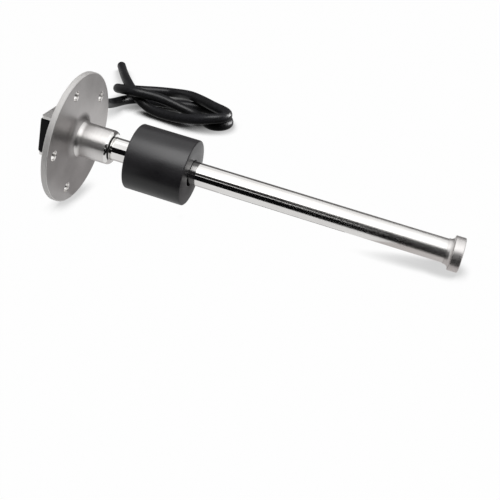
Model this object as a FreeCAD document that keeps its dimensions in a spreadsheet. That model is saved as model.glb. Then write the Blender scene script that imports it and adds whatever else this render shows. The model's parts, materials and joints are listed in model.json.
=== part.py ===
import FreeCAD, Part
import math
import os
import Sketcher
from FreeCAD import Vector

# Fuel level gauge: a flange-mounted stem with a magnetic float, lying at rest on a flat surface.
# Each piece is drawn in the stem's own frame: X runs from the flange's front face to the end cap,
# Y points away from the viewer to the cable's side, and Z points up.
# The rest pose then tips the stem until the flange rim and the cap's corner touch the surface.

SIZES = {
    # Flange and neck
    "bolt_circle": 54,
    "bolt_edge": 7.5,
    "bolt_count": 5,
    "bolt_hole": 5.2,
    "flange_thick": 3,
    "flange_edge": 0.5,
    "neck_length": 20,
    "neck_wall": 2.9,
    "neck_root": 4.8,
    "neck_edge": 0.6,
    # Stem and end cap
    "stem_length": 200,
    "tube_dia": 12,
    "tube_wall": 1,
    "cap_wall": 2.5,
    "cap_band": 5,
    "cap_flare": 2.7,
    "cap_lip": 0.5,
    "cap_edge": 0.5,
    "cap_floor": 2.5,
    # Float and magnet
    "float_dia": 34,
    "float_length": 31,
    "float_clear": 0.8,
    "float_edge": 0.6,
    "float_gap": 11.6,
    "stop_gap": 0.3,
    "magnet_dia": 26,
    "magnet_bore": 18,
    "magnet_length": 6,
    # Head on the flange's back
    "head_width": 20,
    "head_height": 18.6,
    "head_length": 13,
    "head_proud": 0.5,
    "bracket_sheet": 1.5,
    "bracket_bend": 0.8,
    "bracket_corner": 1.5,
    # Cable and its grommet
    "cable_dia": 6.5,
    "cable_grip": 3.5,
    "exit_setback": 5.5,
    "grommet_wall": 0.8,
    "grommet_depth": 4,
    "grommet_rim": 0.8,
    "grommet_nose": 3,
    # Parts sealed inside the stem
    "plug_length": 7.5,
    "sleeve_wall": 0.4,
    "board_thick": 1.2,
    "board_margin": 4,
    "reed_count": 7,
    "reed_dia": 2,
    "reed_length": 14,
    "reed_span": 19,
    "reed_lead": 0.5,
    "reed_taper": 1.2,
    "reed_lift": 0.3,
    "resistor_length": 3.2,
    "resistor_width": 1.6,
    "resistor_height": 0.6,
    "wire_dia": 1.2,
    "wire_apart": 1.8,
    "wire_split": 1.5,
    "wire_bend": 1.8,
    "wire_tail": 5,
    # Clearance between pieces that seat in one another
    "fit_gap": 0.1,
}

# Lengths that several pieces share, worked out from the sizes
DERIVED = {
    "flange_rad": "Sizes.bolt_circle / 2 + Sizes.bolt_edge",
    "tube_rad": "Sizes.tube_dia / 2",
    "tube_inside": "tube_rad - Sizes.tube_wall",
    "socket_rad": "tube_rad + Sizes.fit_gap",
    "neck_rad": "socket_rad + Sizes.neck_wall",
    "lip_rad": "socket_rad + Sizes.cap_lip",
    "cap_rad": "socket_rad + Sizes.cap_wall",
    "cap_start": "Sizes.stem_length - Sizes.cap_band - Sizes.cap_flare",
    "tube_end": "Sizes.stem_length - Sizes.cap_floor",
    "float_start": "Sizes.neck_length + Sizes.float_gap",
    "float_drop": "Sizes.float_clear - Sizes.stop_gap",
    "float_travel": "cap_start - Sizes.neck_length - Sizes.float_length - 2 * Sizes.stop_gap",
    "head_front": "-Sizes.flange_thick - Sizes.bracket_sheet",
    "head_back": "head_front - Sizes.head_length",
    "head_round": "Sizes.bracket_bend + Sizes.fit_gap",
    "leg_inside": "Sizes.head_height / 2 + Sizes.fit_gap",
    "leg_outside": "leg_inside + Sizes.bracket_sheet",
    "exit_along": "head_front - Sizes.exit_setback",
    "cable_start": "Sizes.head_width / 2 - Sizes.cable_grip",
    "grommet_bore": "Sizes.cable_dia / 2 + Sizes.fit_gap",
    "grommet_rad": "grommet_bore + Sizes.grommet_wall",
    "plug_end": "head_front + Sizes.plug_length",
    "sleeve_end": "tube_end - Sizes.fit_gap",
    "sleeve_outside": "tube_inside - Sizes.fit_gap",
    "sleeve_inside": "sleeve_outside - Sizes.sleeve_wall",
    "board_half": "sqrt(pow(sleeve_inside - Sizes.fit_gap; 2) - pow(Sizes.board_thick / 2; 2))",
    "reed_first": "Sizes.neck_length + Sizes.stop_gap + Sizes.float_length / 2",
    "reed_pitch": "float_travel / (Sizes.reed_count - 1)",
    "reed_up": "Sizes.board_thick / 2 + Sizes.reed_lift + Sizes.reed_dia / 2",
    "board_start": "plug_end + Sizes.fit_gap",
    "board_end": "reed_first + float_travel + Sizes.reed_span / 2 + Sizes.board_margin",
    "wire_start": "board_start + Sizes.wire_tail",
    "wire_up": "(Sizes.board_thick + Sizes.wire_dia) / 2",
    "rest_tilt": "atan((flange_rad - cap_rad) / (Sizes.stem_length - Sizes.cap_edge + Sizes.flange_edge))",
    "rest_up": "flange_rad * cos(rest_tilt) - Sizes.flange_edge * sin(rest_tilt)",
    "reach_front": "Sizes.stem_length * cos(rest_tilt) + (cap_rad - Sizes.cap_edge) * sin(rest_tilt)",
    "reach_back": "(head_back + head_round) * cos(rest_tilt)"
                  " - (Sizes.head_height / 2 - head_round) * sin(rest_tilt) - head_round",
    "rest_along": "-(reach_front + reach_back) / 2",
}

# The cable's way over the surface after it leaves the grommet, chosen by hand, to its cut end
CABLE_ROUTE = [
    (-103.5, 48.5, 34.5), (-112, 72, 28), (-121.5, 95, 18.5), (-128.5, 116, 9.2),
    (-130, 131.5, 4.8), (-127.6, 144.5, 3.3), (-119, 151.2, 3.25), (-107.7, 149.7, 3.25),
    (-94.6, 150.5, 3.25), (-81.5, 152.4, 3.25), (-69.5, 151.2, 3.25), (-58.5, 146.4, 3.25),
    (-52.2, 138.6, 3.25), (-49.3, 130.8, 3.25), (-52.4, 124.6, 3.25), (-58.9, 123.1, 3.25),
    (-65.5, 128.5, 3.25), (-73.9, 136.4, 3.8), (-86.7, 136.7, 7.4), (-98.2, 135.6, 11.4),
    (-108.6, 132.7, 13.9), (-118.5, 131.9, 14.7), (-130.6, 140.2, 12), (-138.2, 152.4, 7.6),
    (-136.6, 161.2, 4.4), (-127.5, 166.6, 3.3), (-113.5, 171.2, 3.25), (-100.5, 172.6, 3.4),
    (-85, 155.9, 9.5), (-73.6, 146.9, 10.6), (-62.6, 138.7, 10.6), (-51.5, 132.4, 10.4),
    (-48.9, 126.3, 10.3), (-51.6, 120.6, 10.2), (-57.8, 117.8, 9.8), (-67.4, 117.8, 7.6),
    (-81.6, 123.6, 4.4), (-95.1, 128.3, 3.3), (-105.4, 132.1, 4.2), (-112.9, 134.7, 7.6),
    (-119.8, 140.5, 10.2), (-127.8, 149.7, 12.4), (-138.5, 168.1, 10.4), (-152.6, 195.7, 5.2),
    (-161.9, 213.7, 3.25),
]
# How far along Y the cable keeps the grommet's line
CABLE_STRAIGHT = 27
# Share of the shorter run beside a corner that the bend takes up
CABLE_BEND_SHARE = 0.45

TINY = 1e-4

doc = FreeCAD.newDocument("FuelLevelGauge")


# Sheets of sizes
def fill_sheet(name, cells):
    sheet = doc.addObject("Spreadsheet::Sheet", name)
    for row, (alias, content) in enumerate(cells.items(), start=1):
        sheet.set(f"A{row}", alias)
        sheet.set(f"B{row}", content)
        sheet.setAlias(f"B{row}", alias)
    doc.recompute()
    return sheet


sizes = fill_sheet("Sizes", {alias: str(number) for alias, number in SIZES.items()})
derived = fill_sheet("Derived", {alias: "=" + formula for alias, formula in DERIVED.items()})


def value(expression):
    return float(sizes.evalExpression(expression))


# Drawing and placing
REST_POSE = (
    "placement(vector(Derived.rest_along; 0; Derived.rest_up);"
    " rotation(vector(0; 1; 0); Derived.rest_tilt))"
)


def seat(piece, along="0", aside="0", up="0"):
    offset = f"placement(vector({along}; {aside}; {up}); rotation(vector(0; 0; 1); 0))"
    piece.setExpression("Placement", f"{REST_POSE} * {offset}")


def new_body(label):
    body = doc.addObject("PartDesign::Body", label)
    body.Label = label
    return body


def new_sketch(body, name, role):
    sketch = body.newObject("Sketcher::SketchObject", name)
    support = next(part for part in body.Origin.OriginFeatures if part.Role == role)
    sketch.AttachmentSupport = (support, [""])
    sketch.MapMode = "FlatFace"
    return sketch


def bind(sketch, constraint, expression):
    index = sketch.addConstraint(constraint)
    sketch.setExpression(f"Constraints[{index}]", expression)


def fix_point(sketch, geometry, vertex, x, y):
    bind(sketch, Sketcher.Constraint("DistanceX", -1, 1, geometry, vertex, value(x)), x)
    bind(sketch, Sketcher.Constraint("DistanceY", -1, 1, geometry, vertex, value(y)), y)


def add_outline(sketch, corners):
    points = [Vector(value(x), value(y), 0) for x, y in corners]
    following = points[1:] + points[:1]
    lines = [
        sketch.addGeometry(Part.LineSegment(start, end), False)
        for start, end in zip(points, following)
    ]
    for line, after in zip(lines, lines[1:] + lines[:1]):
        sketch.addConstraint(Sketcher.Constraint("Coincident", line, 2, after, 1))
    for line, (x, y) in zip(lines, corners):
        fix_point(sketch, line, 1, x, y)


def add_circle(sketch, radius, x="0", y="0"):
    centre = Vector(value(x), value(y), 0)
    shape = Part.Circle(centre, Vector(0, 0, 1), value(radius))
    circle = sketch.addGeometry(shape, False)
    fix_point(sketch, circle, 3, x, y)
    bind(sketch, Sketcher.Constraint("Radius", circle, value(radius)), radius)


def revolve(body, sketch, kind="PartDesign::Revolution", axis="H_Axis"):
    feature = body.newObject(kind, sketch.Name + "_turned")
    feature.Profile = sketch
    feature.ReferenceAxis = (sketch, [axis])
    feature.Angle = 360
    doc.recompute()
    return feature


def pad(body, sketch, length, symmetric=False):
    feature = body.newObject("PartDesign::Pad", sketch.Name + "_padded")
    feature.Profile = sketch
    feature.setExpression("Length", length)
    feature.SideType = "Symmetric" if symmetric else "One side"
    doc.recompute()
    return feature


def pocket(body, sketch, length=None):
    feature = body.newObject("PartDesign::Pocket", sketch.Name + "_cut")
    feature.Profile = sketch
    if length is None:
        feature.Type = "ThroughAll"
    else:
        feature.setExpression("Length", length)
    before = feature.BaseFeature.Shape.Volume
    doc.recompute()
    if not feature.Shape.Volume < before:
        raise ValueError(f"{sketch.Name} removes nothing")
    return feature


def dress(body, base, kind, edges, size_name, expression):
    feature = body.newObject(kind, f"{body.Name}_{size_name}_{len(body.Group)}")
    feature.Base = (base, edges)
    feature.setExpression(size_name, expression)
    doc.recompute()
    return feature


def fillet(body, base, edges, radius):
    return dress(body, base, "PartDesign::Fillet", edges, "Radius", radius)


def chamfer(body, base, edges, width):
    return dress(body, base, "PartDesign::Chamfer", edges, "Size", width)


def edge_names(feature, test):
    return [
        f"Edge{index}"
        for index, edge in enumerate(feature.Shape.Edges, start=1)
        if test(edge)
    ]


def ring_edges(feature, along, radius):
    def on_ring(edge):
        if not isinstance(edge.Curve, Part.Circle):
            return False
        if abs(edge.Curve.Radius - value(radius)) > TINY:
            return False
        return abs(edge.Curve.Center.x - value(along)) < TINY
    return edge_names(feature, on_ring)


def edges_at(feature, along, aside=None, up=None):
    def in_place(edge):
        middle = edge.CenterOfMass
        if abs(middle.x - value(along)) > TINY:
            return False
        if aside is not None and abs(abs(middle.y) - value(aside)) > TINY:
            return False
        return up is None or abs(abs(middle.z) - value(up)) < TINY
    return edge_names(feature, in_place)


def turned_body(label, corners):
    body = new_body(label)
    sketch = new_sketch(body, label + "_profile", "XZ_Plane")
    add_outline(sketch, corners)
    return body, revolve(body, sketch)


def ring_body(label, outside, inside, length):
    body = new_body(label)
    sketch = new_sketch(body, label + "_section", "YZ_Plane")
    add_circle(sketch, outside)
    add_circle(sketch, inside)
    pad(body, sketch, length)
    return body


# Flange with its neck, turned from one piece
def make_mounting_flange():
    back = "-Sizes.flange_thick"
    body, turned = turned_body("mounting_flange", [
        (back, "Derived.socket_rad"),
        (back, "Derived.flange_rad"),
        ("0", "Derived.flange_rad"),
        ("0", "Derived.neck_rad"),
        ("Sizes.neck_length", "Derived.neck_rad"),
        ("Sizes.neck_length", "Derived.socket_rad"),
    ])
    root = fillet(body, turned, ring_edges(turned, "0", "Derived.neck_rad"), "Sizes.neck_root")
    rim = ring_edges(root, "0", "Derived.flange_rad") + ring_edges(root, back, "Derived.flange_rad")
    eased = chamfer(body, root, rim, "Sizes.flange_edge")
    end = ring_edges(eased, "Sizes.neck_length", "Derived.neck_rad")
    chamfer(body, eased, end, "Sizes.neck_edge")
    sketch = new_sketch(body, "bolt_hole", "YZ_Plane")
    add_circle(sketch, "Sizes.bolt_hole / 2", "-Sizes.bolt_circle / 2")
    hole = pocket(body, sketch)
    holes = body.newObject("PartDesign::PolarPattern", "bolt_holes")
    holes.Originals = [hole]
    holes.Axis = (next(part for part in body.Origin.OriginFeatures if part.Role == "X_Axis"), [""])
    holes.Angle = 360
    holes.setExpression("Occurrences", "Sizes.bolt_count")
    body.Tip = holes
    seat(body)
    return body


def make_stem_tube():
    length = "Derived.tube_end - Derived.head_front"
    body = ring_body("stem_tube", "Derived.tube_rad", "Derived.tube_inside", length)
    seat(body, along="Derived.head_front")
    return body


# Cap with a lip on the tube that flares out to its band
def make_end_cap():
    band = "Sizes.stem_length - Sizes.cap_band"
    body, turned = turned_body("end_cap", [
        ("Derived.cap_start", "Derived.socket_rad"),
        ("Derived.cap_start", "Derived.lip_rad"),
        (band, "Derived.lip_rad"),
        (band, "Derived.cap_rad"),
        ("Sizes.stem_length", "Derived.cap_rad"),
        ("Sizes.stem_length", "0"),
        ("Derived.tube_end", "0"),
        ("Derived.tube_end", "Derived.socket_rad"),
    ])
    flare = "0.9 * min(Derived.cap_rad - Derived.lip_rad; Sizes.cap_flare)"
    flared = fillet(body, turned, ring_edges(turned, band, "Derived.lip_rad"), flare)
    end = ring_edges(flared, "Sizes.stem_length", "Derived.cap_rad")
    chamfer(body, flared, end, "Sizes.cap_edge")
    seat(body)
    return body


# Foam float with the magnet's ring-shaped pocket closed inside it
def make_float_body():
    bore = "Derived.tube_rad + Sizes.float_clear"
    rim = "Sizes.float_dia / 2"
    body, turned = turned_body("float_body", [
        ("0", bore),
        ("0", rim),
        ("Sizes.float_length", rim),
        ("Sizes.float_length", bore),
    ])
    edges = ring_edges(turned, "0", rim) + ring_edges(turned, "Sizes.float_length", rim)
    chamfer(body, turned, edges, "Sizes.float_edge")
    near = "(Sizes.float_length - Sizes.magnet_length) / 2 - Sizes.fit_gap"
    far = "(Sizes.float_length + Sizes.magnet_length) / 2 + Sizes.fit_gap"
    inside = "Sizes.magnet_bore / 2 - Sizes.fit_gap"
    outside = "Sizes.magnet_dia / 2 + Sizes.fit_gap"
    sketch = new_sketch(body, "magnet_pocket", "XZ_Plane")
    add_outline(sketch, [(near, inside), (near, outside), (far, outside), (far, inside)])
    revolve(body, sketch, kind="PartDesign::Groove")
    seat(body, along="Derived.float_start", up="-Derived.float_drop")
    return body


def make_float_magnet():
    body = ring_body(
        "float_magnet", "Sizes.magnet_dia / 2", "Sizes.magnet_bore / 2", "Sizes.magnet_length"
    )
    middle = "Derived.float_start + (Sizes.float_length - Sizes.magnet_length) / 2"
    seat(body, along=middle, up="-Derived.float_drop")
    return body


# Sheet folded to a U, its base on the flange's back and its legs above and below the housing
def make_head_bracket():
    body = new_body("head_bracket")
    base = "-Sizes.flange_thick"
    end = "Derived.head_back + Sizes.head_proud"
    sketch = new_sketch(body, "bracket_fold", "XZ_Plane")
    add_outline(sketch, [
        (base, "-Derived.leg_outside"),
        (base, "Derived.leg_outside"),
        (end, "Derived.leg_outside"),
        (end, "Derived.leg_inside"),
        ("Derived.head_front", "Derived.leg_inside"),
        ("Derived.head_front", "-Derived.leg_inside"),
        (end, "-Derived.leg_inside"),
        (end, "-Derived.leg_outside"),
    ])
    folded = pad(body, sketch, "Sizes.head_width", symmetric=True)
    inner = edges_at(folded, "Derived.head_front", up="Derived.leg_inside")
    bent = fillet(body, folded, inner, "Sizes.bracket_bend")
    outer = edges_at(bent, base, up="Derived.leg_outside")
    curved = fillet(body, bent, outer, "Sizes.bracket_bend + Sizes.bracket_sheet")
    corners = edges_at(curved, end, aside="Sizes.head_width / 2")
    fillet(body, curved, corners, "Sizes.bracket_corner")
    hole = new_sketch(body, "bracket_hole", "YZ_Plane")
    add_circle(hole, "Derived.socket_rad")
    pocket(body, hole)
    seat(body)
    return body


# Moulded block with a bore from the stem that meets the cable's bore from the side
def make_head_housing():
    body = new_body("head_housing")
    half_width = "Sizes.head_width / 2"
    half_height = "Sizes.head_height / 2"
    sketch = new_sketch(body, "housing_side", "XZ_Plane")
    add_outline(sketch, [
        ("Derived.head_front", f"-{half_height}"),
        ("Derived.head_front", half_height),
        ("Derived.head_back", half_height),
        ("Derived.head_back", f"-{half_height}"),
    ])
    block = pad(body, sketch, "Sizes.head_width", symmetric=True)
    edges = edge_names(block, lambda edge: True)
    fillet(body, block, edges, "Derived.head_round")
    wire_bore = new_sketch(body, "wire_bore", "YZ_Plane")
    add_circle(wire_bore, "Derived.sleeve_inside")
    room = "Sizes.exit_setback + Sizes.wire_split + Sizes.wire_dia"
    pocket(body, wire_bore, f"-Derived.head_front + {room}")
    cable_bore = new_sketch(body, "cable_bore", "XZ_Plane")
    add_circle(cable_bore, "Derived.grommet_rad + Sizes.fit_gap", "Derived.exit_along")
    pocket(body, cable_bore, half_width)
    seat(body)
    return body


# Rubber sleeve with a rim on the housing's side and a tapered nose
def make_cable_grommet():
    body = new_body("cable_grommet")
    side = "Sizes.head_width / 2"
    sketch = new_sketch(body, "grommet_profile", "XY_Plane")
    add_outline(sketch, [
        ("Derived.grommet_bore", f"{side} - Sizes.grommet_depth"),
        ("Derived.grommet_rad", f"{side} - Sizes.grommet_depth"),
        ("Derived.grommet_rad", side),
        ("Derived.grommet_rad + Sizes.grommet_rim", side),
        ("Derived.grommet_rad", f"{side} + Sizes.grommet_nose"),
        ("Derived.grommet_bore", f"{side} + Sizes.grommet_nose"),
    ])
    revolve(body, sketch, axis="V_Axis")
    seat(body, along="Derived.exit_along")
    return body


# Sealed inner parts
def make_potting_plug():
    body = new_body("potting_plug")
    sketch = new_sketch(body, "plug_section", "YZ_Plane")
    add_circle(sketch, "Derived.sleeve_outside")
    for side in ("-", ""):
        add_circle(
            sketch, "Sizes.wire_dia / 2 + Sizes.fit_gap / 2", f"{side}Sizes.wire_apart", "Derived.wire_up"
        )
    pad(body, sketch, "Sizes.plug_length")
    seat(body, along="Derived.head_front")
    return body


def make_board_sleeve():
    length = "Derived.sleeve_end - Derived.plug_end"
    body = ring_body("board_sleeve", "Derived.sleeve_outside", "Derived.sleeve_inside", length)
    seat(body, along="Derived.plug_end")
    return body


def make_sensor_board():
    body = new_body("sensor_board")
    sketch = new_sketch(body, "board_section", "YZ_Plane")
    half_thick = "Sizes.board_thick / 2"
    add_outline(sketch, [
        ("-Derived.board_half", f"-{half_thick}"),
        ("Derived.board_half", f"-{half_thick}"),
        ("Derived.board_half", half_thick),
        ("-Derived.board_half", half_thick),
    ])
    pad(body, sketch, "Derived.board_end - Derived.board_start")
    seat(body, along="Derived.board_start")
    return body


# Glass capsule on a flat lead that bends down to the board at each end
def make_reed_switch(index):
    glass = "Sizes.reed_dia / 2"
    half_lead = "Sizes.reed_lead / 2"
    half_span = "Sizes.reed_span / 2"
    half_glass = "Sizes.reed_length / 2"
    shoulder = f"({half_glass} - Sizes.reed_taper)"
    body, _ = turned_body(f"reed_switch_{index + 1}", [
        (f"-{half_glass}", "0"),
        (f"-{half_glass}", half_lead),
        (f"-{shoulder}", glass),
        (shoulder, glass),
        (half_glass, half_lead),
        (half_glass, "0"),
    ])
    leg = f"({half_span} - Sizes.reed_lead)"
    foot = "Sizes.board_thick / 2 - Derived.reed_up"
    sketch = new_sketch(body, f"reed_lead_{index + 1}", "XZ_Plane")
    add_outline(sketch, [
        (f"-{half_span}", foot),
        (f"-{half_span}", half_lead),
        (half_span, half_lead),
        (half_span, foot),
        (leg, foot),
        (leg, f"-{half_lead}"),
        (f"-{leg}", f"-{half_lead}"),
        (f"-{leg}", foot),
    ])
    pad(body, sketch, "Sizes.reed_lead", symmetric=True)
    seat(body, along=f"Derived.reed_first + {index} * Derived.reed_pitch", up="Derived.reed_up")
    return body


def make_resistor(index):
    box = doc.addObject("Part::Box", f"resistor_{index + 1}")
    box.Label = f"resistor_{index + 1}"
    box.setExpression("Length", "Sizes.resistor_length")
    box.setExpression("Width", "Sizes.resistor_width")
    box.setExpression("Height", "Sizes.resistor_height")
    centre = f"Derived.reed_first + ({index} - 0.5) * Derived.reed_pitch"
    seat(
        box,
        along=f"{centre} - Sizes.resistor_length / 2",
        aside="-Sizes.resistor_width / 2",
        up="-Sizes.board_thick / 2 - Sizes.resistor_height",
    )
    return box


# Wire from the board through the plug that turns to the side and ends on the cable's cut face
def make_lead_wire(label, aside, turn_along):
    body = new_body(label)
    reach = f"({turn_along} - Derived.wire_start)"
    sideways = f"(Derived.cable_start - ({aside}))"
    bend = value("Sizes.wire_bend")
    corner = Vector(value(reach), 0, 0)
    centre = corner + Vector(bend, bend, 0)
    turn_out = corner + Vector(0, bend, 0)
    turn_in = corner + Vector(bend, 0, 0)
    middle = centre - Vector(1, 1, 0).normalize() * bend
    path = new_sketch(body, label + "_path", "XY_Plane")
    along = path.addGeometry(Part.LineSegment(Vector(0, 0, 0), turn_in), False)
    arc = path.addGeometry(Part.Arc(turn_out, middle, turn_in), False)
    across = path.addGeometry(
        Part.LineSegment(turn_out, Vector(value(reach), value(sideways), 0)), False
    )
    path.addConstraint(Sketcher.Constraint("Coincident", along, 1, -1, 1))
    path.addConstraint(Sketcher.Constraint("Horizontal", along))
    path.addConstraint(Sketcher.Constraint("Vertical", across))
    path.addConstraint(Sketcher.Constraint("Tangent", along, 2, arc, 2))
    path.addConstraint(Sketcher.Constraint("Tangent", arc, 1, across, 1))
    bind(path, Sketcher.Constraint("Radius", arc, bend), "Sizes.wire_bend")
    fix_point(path, across, 2, reach, sideways)
    section = new_sketch(body, label + "_section", "YZ_Plane")
    add_circle(section, "Sizes.wire_dia / 2")
    pipe = body.newObject("PartDesign::AdditivePipe", label + "_pipe")
    pipe.Profile = section
    pipe.Spine = (path, [f"Edge{edge + 1}" for edge in (along, arc, across)])
    seat(body, along="Derived.wire_start", aside=aside, up="Derived.wire_up")
    return body


# Cable as straight runs joined by tangent arcs
def make_cable():
    tilt = sizes.evalExpression("Derived.rest_tilt")
    rest = FreeCAD.Placement(
        Vector(value("Derived.rest_along"), 0, value("Derived.rest_up")),
        FreeCAD.Rotation(Vector(0, 1, 0), tilt),
    )
    start = rest.multVec(Vector(value("Derived.exit_along"), value("Derived.cable_start"), 0))
    straight = Vector(start.x, CABLE_STRAIGHT, start.z)
    points = [start, straight] + [Vector(*point) for point in CABLE_ROUTE]
    radius = value("Sizes.cable_dia / 2")
    edges = []
    bends = []
    last = start
    for before, corner, after in zip(points, points[1:], points[2:]):
        into = (corner - before).normalize()
        out = (after - corner).normalize()
        turn = into.getAngle(out)
        trim = CABLE_BEND_SHARE * min((corner - before).Length, (after - corner).Length)
        bend = trim / math.tan(turn / 2)
        arc_start = corner - into * trim
        arc_end = corner + out * trim
        inward = (out - into).normalize()
        rise = (trim ** 2 + bend ** 2) ** 0.5 - bend
        edges.append(Part.LineSegment(last, arc_start).toShape())
        edges.append(Part.Arc(arc_start, corner + inward * rise, arc_end).toShape())
        bends.append(bend)
        last = arc_end
    edges.append(Part.LineSegment(last, points[-1]).toShape())
    wire = Part.Wire(edges)
    section = Part.Wire(Part.Circle(start, points[1] - start, radius).toShape())
    cable = doc.addObject("Part::Feature", "cable")
    cable.Label = "cable"
    cable.Shape = wire.makePipe(Part.Face(section))
    expected = Part.Face(section).Area * wire.Length
    print("cable length", round(wire.Length, 1))
    print("cable bend radii", [round(bend, 1) for bend in bends])
    print("cable volume against section times length", round(cable.Shape.Volume / expected, 4))
    return cable


def make_pieces():
    pieces = [
        make_mounting_flange(),
        make_stem_tube(),
        make_end_cap(),
        make_float_body(),
        make_float_magnet(),
        make_head_bracket(),
        make_head_housing(),
        make_cable_grommet(),
        make_cable(),
        make_potting_plug(),
        make_board_sleeve(),
        make_sensor_board(),
    ]
    for index in range(int(value("Sizes.reed_count"))):
        pieces.append(make_reed_switch(index))
        pieces.append(make_resistor(index))
    near = "Derived.exit_along + Sizes.wire_split"
    far = "Derived.exit_along - Sizes.wire_split"
    pieces.append(make_lead_wire("lead_wire_signal", "Sizes.wire_apart", f"({near})"))
    pieces.append(make_lead_wire("lead_wire_ground", "-Sizes.wire_apart", f"({far})"))
    doc.recompute()
    return pieces


def export(pieces):
    for item in doc.Objects:
        if "Invalid" in item.State or "Error" in item.State:
            raise ValueError(f"{item.Label} is in state {item.State}")
    os.makedirs("parts", exist_ok=True)
    for piece in pieces:
        if piece.Shape.isNull() or not piece.Shape.isValid():
            raise ValueError(f"{piece.Label} has no valid shape")
        piece.Shape.exportStep(f"parts/{piece.Label}.step")
        print(piece.Label, round(piece.Shape.Volume, 1))


export(make_pieces())
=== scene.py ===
import json
import math
import bmesh
import bpy
from mathutils import Matrix, Vector


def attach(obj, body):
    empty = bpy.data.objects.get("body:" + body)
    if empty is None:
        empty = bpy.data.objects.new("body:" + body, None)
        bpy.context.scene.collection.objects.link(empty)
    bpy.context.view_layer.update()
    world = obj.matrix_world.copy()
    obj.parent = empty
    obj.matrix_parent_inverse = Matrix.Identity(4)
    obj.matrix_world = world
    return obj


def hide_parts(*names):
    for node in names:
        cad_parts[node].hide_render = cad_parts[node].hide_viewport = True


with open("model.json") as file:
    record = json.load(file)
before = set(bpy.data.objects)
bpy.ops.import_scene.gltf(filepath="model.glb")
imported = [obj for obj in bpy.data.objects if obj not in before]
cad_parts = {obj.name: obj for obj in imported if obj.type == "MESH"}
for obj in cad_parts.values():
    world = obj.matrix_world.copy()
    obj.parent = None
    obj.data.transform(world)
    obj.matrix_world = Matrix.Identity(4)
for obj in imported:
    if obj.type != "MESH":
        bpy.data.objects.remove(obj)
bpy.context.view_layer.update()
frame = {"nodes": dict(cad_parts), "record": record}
print("frame loaded with", len(frame["nodes"]), "nodes")

mm = 0.001
scene = bpy.context.scene
scene.view_settings.view_transform = "Standard"

# The stem's own frame: X runs from the flange's front face to the end cap, Z points up across it
flangeMount = frame["record"]["mounts"][0]
stemAxis = Vector(flangeMount["axis"])
stemStart = Vector(flangeMount["pos_m"])
stemTilt = math.atan2(-stemAxis.z, stemAxis.x)
stemPlace = Matrix.Translation(stemStart) @ Matrix.Rotation(stemTilt, 4, "Y")


# Small helpers
def fromHex(text):
    shades = [int(text[start:start + 2], 16) / 255 for start in (1, 3, 5)]
    return tuple(s / 12.92 if s < 0.04045 else ((s + 0.055) / 1.055) ** 2.4 for s in shades) + (1,)


def addNode(tree, kind, links=None, **settings):
    node = tree.nodes.new(kind)
    for name, setting in settings.items():
        setattr(node, name, setting)
    for socket, source in (links or {}).items():
        if isinstance(source, bpy.types.NodeSocket):
            tree.links.new(source, node.inputs[socket])
        else:
            node.inputs[socket].default_value = source
    return node


def emptyTree(holder):
    holder.use_nodes = True
    holder.node_tree.nodes.clear()
    return holder.node_tree


# Camera at the photograph's viewing angle, worked out from the flange's and the tube's outlines
cameraSet = {
    "turn": 14.71,                          # degrees round from the -Y side
    "height": 23.74,                        # degrees above the floor
    "roll": 4.06,
    "place": (100.43, -376.96, 204.41),     # mm
    "lens": 62.48,
    "shiftY": -0.16,                        # the photograph's object sits high in its frame
    "nearest": 10,                          # mm, nothing closer is drawn
}


def addCamera():
    turn, height, roll = (math.radians(cameraSet[key]) for key in ("turn", "height", "roll"))
    reach = math.cos(height)
    back = Vector((math.sin(turn) * reach, -math.cos(turn) * reach, math.sin(height)))
    level = Vector((math.cos(turn), math.sin(turn), 0))
    upright = back.cross(level)
    right = math.cos(roll) * level + math.sin(roll) * upright
    up = math.cos(roll) * upright - math.sin(roll) * level
    camera = bpy.data.objects.new("photoCamera", bpy.data.cameras.new("photoCamera"))
    camera.data.lens = cameraSet["lens"]
    camera.data.shift_y = cameraSet["shiftY"]
    camera.data.clip_start = cameraSet["nearest"] * mm
    turned = Matrix((right, up, back)).transposed().to_4x4()
    camera.matrix_world = Matrix.Translation(Vector(cameraSet["place"]) * mm) @ turned
    scene.collection.objects.link(camera)
    scene.camera = camera


addCamera()
print("camera placed")


# Materials: each pattern is laid in the stem's frame, so turning marks run round the stem
finishSet = {
    "patch": 14,                # mm, size of the cloudy patches over the fine pattern
    "tones": (0.7, 1.3),        # the patterns' sum at the dark and at the light end
    "wornAlong": (70, 190),     # mm from the flange, over which the stem grows duller from handling
}


def stemPattern(tree, grain):
    coords = addNode(tree, "ShaderNodeTexCoord")
    inStem = addNode(
        tree, "ShaderNodeMapping", {
            "Vector": coords.outputs["Object"], "Location": stemStart, "Rotation": (0, stemTilt, 0),
        }, vector_type="TEXTURE")
    return inStem, addNode(tree, "ShaderNodeMapping", {
        "Vector": inStem.outputs["Vector"], "Scale": [1 / (size * mm) for size in grain],
    })


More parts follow.
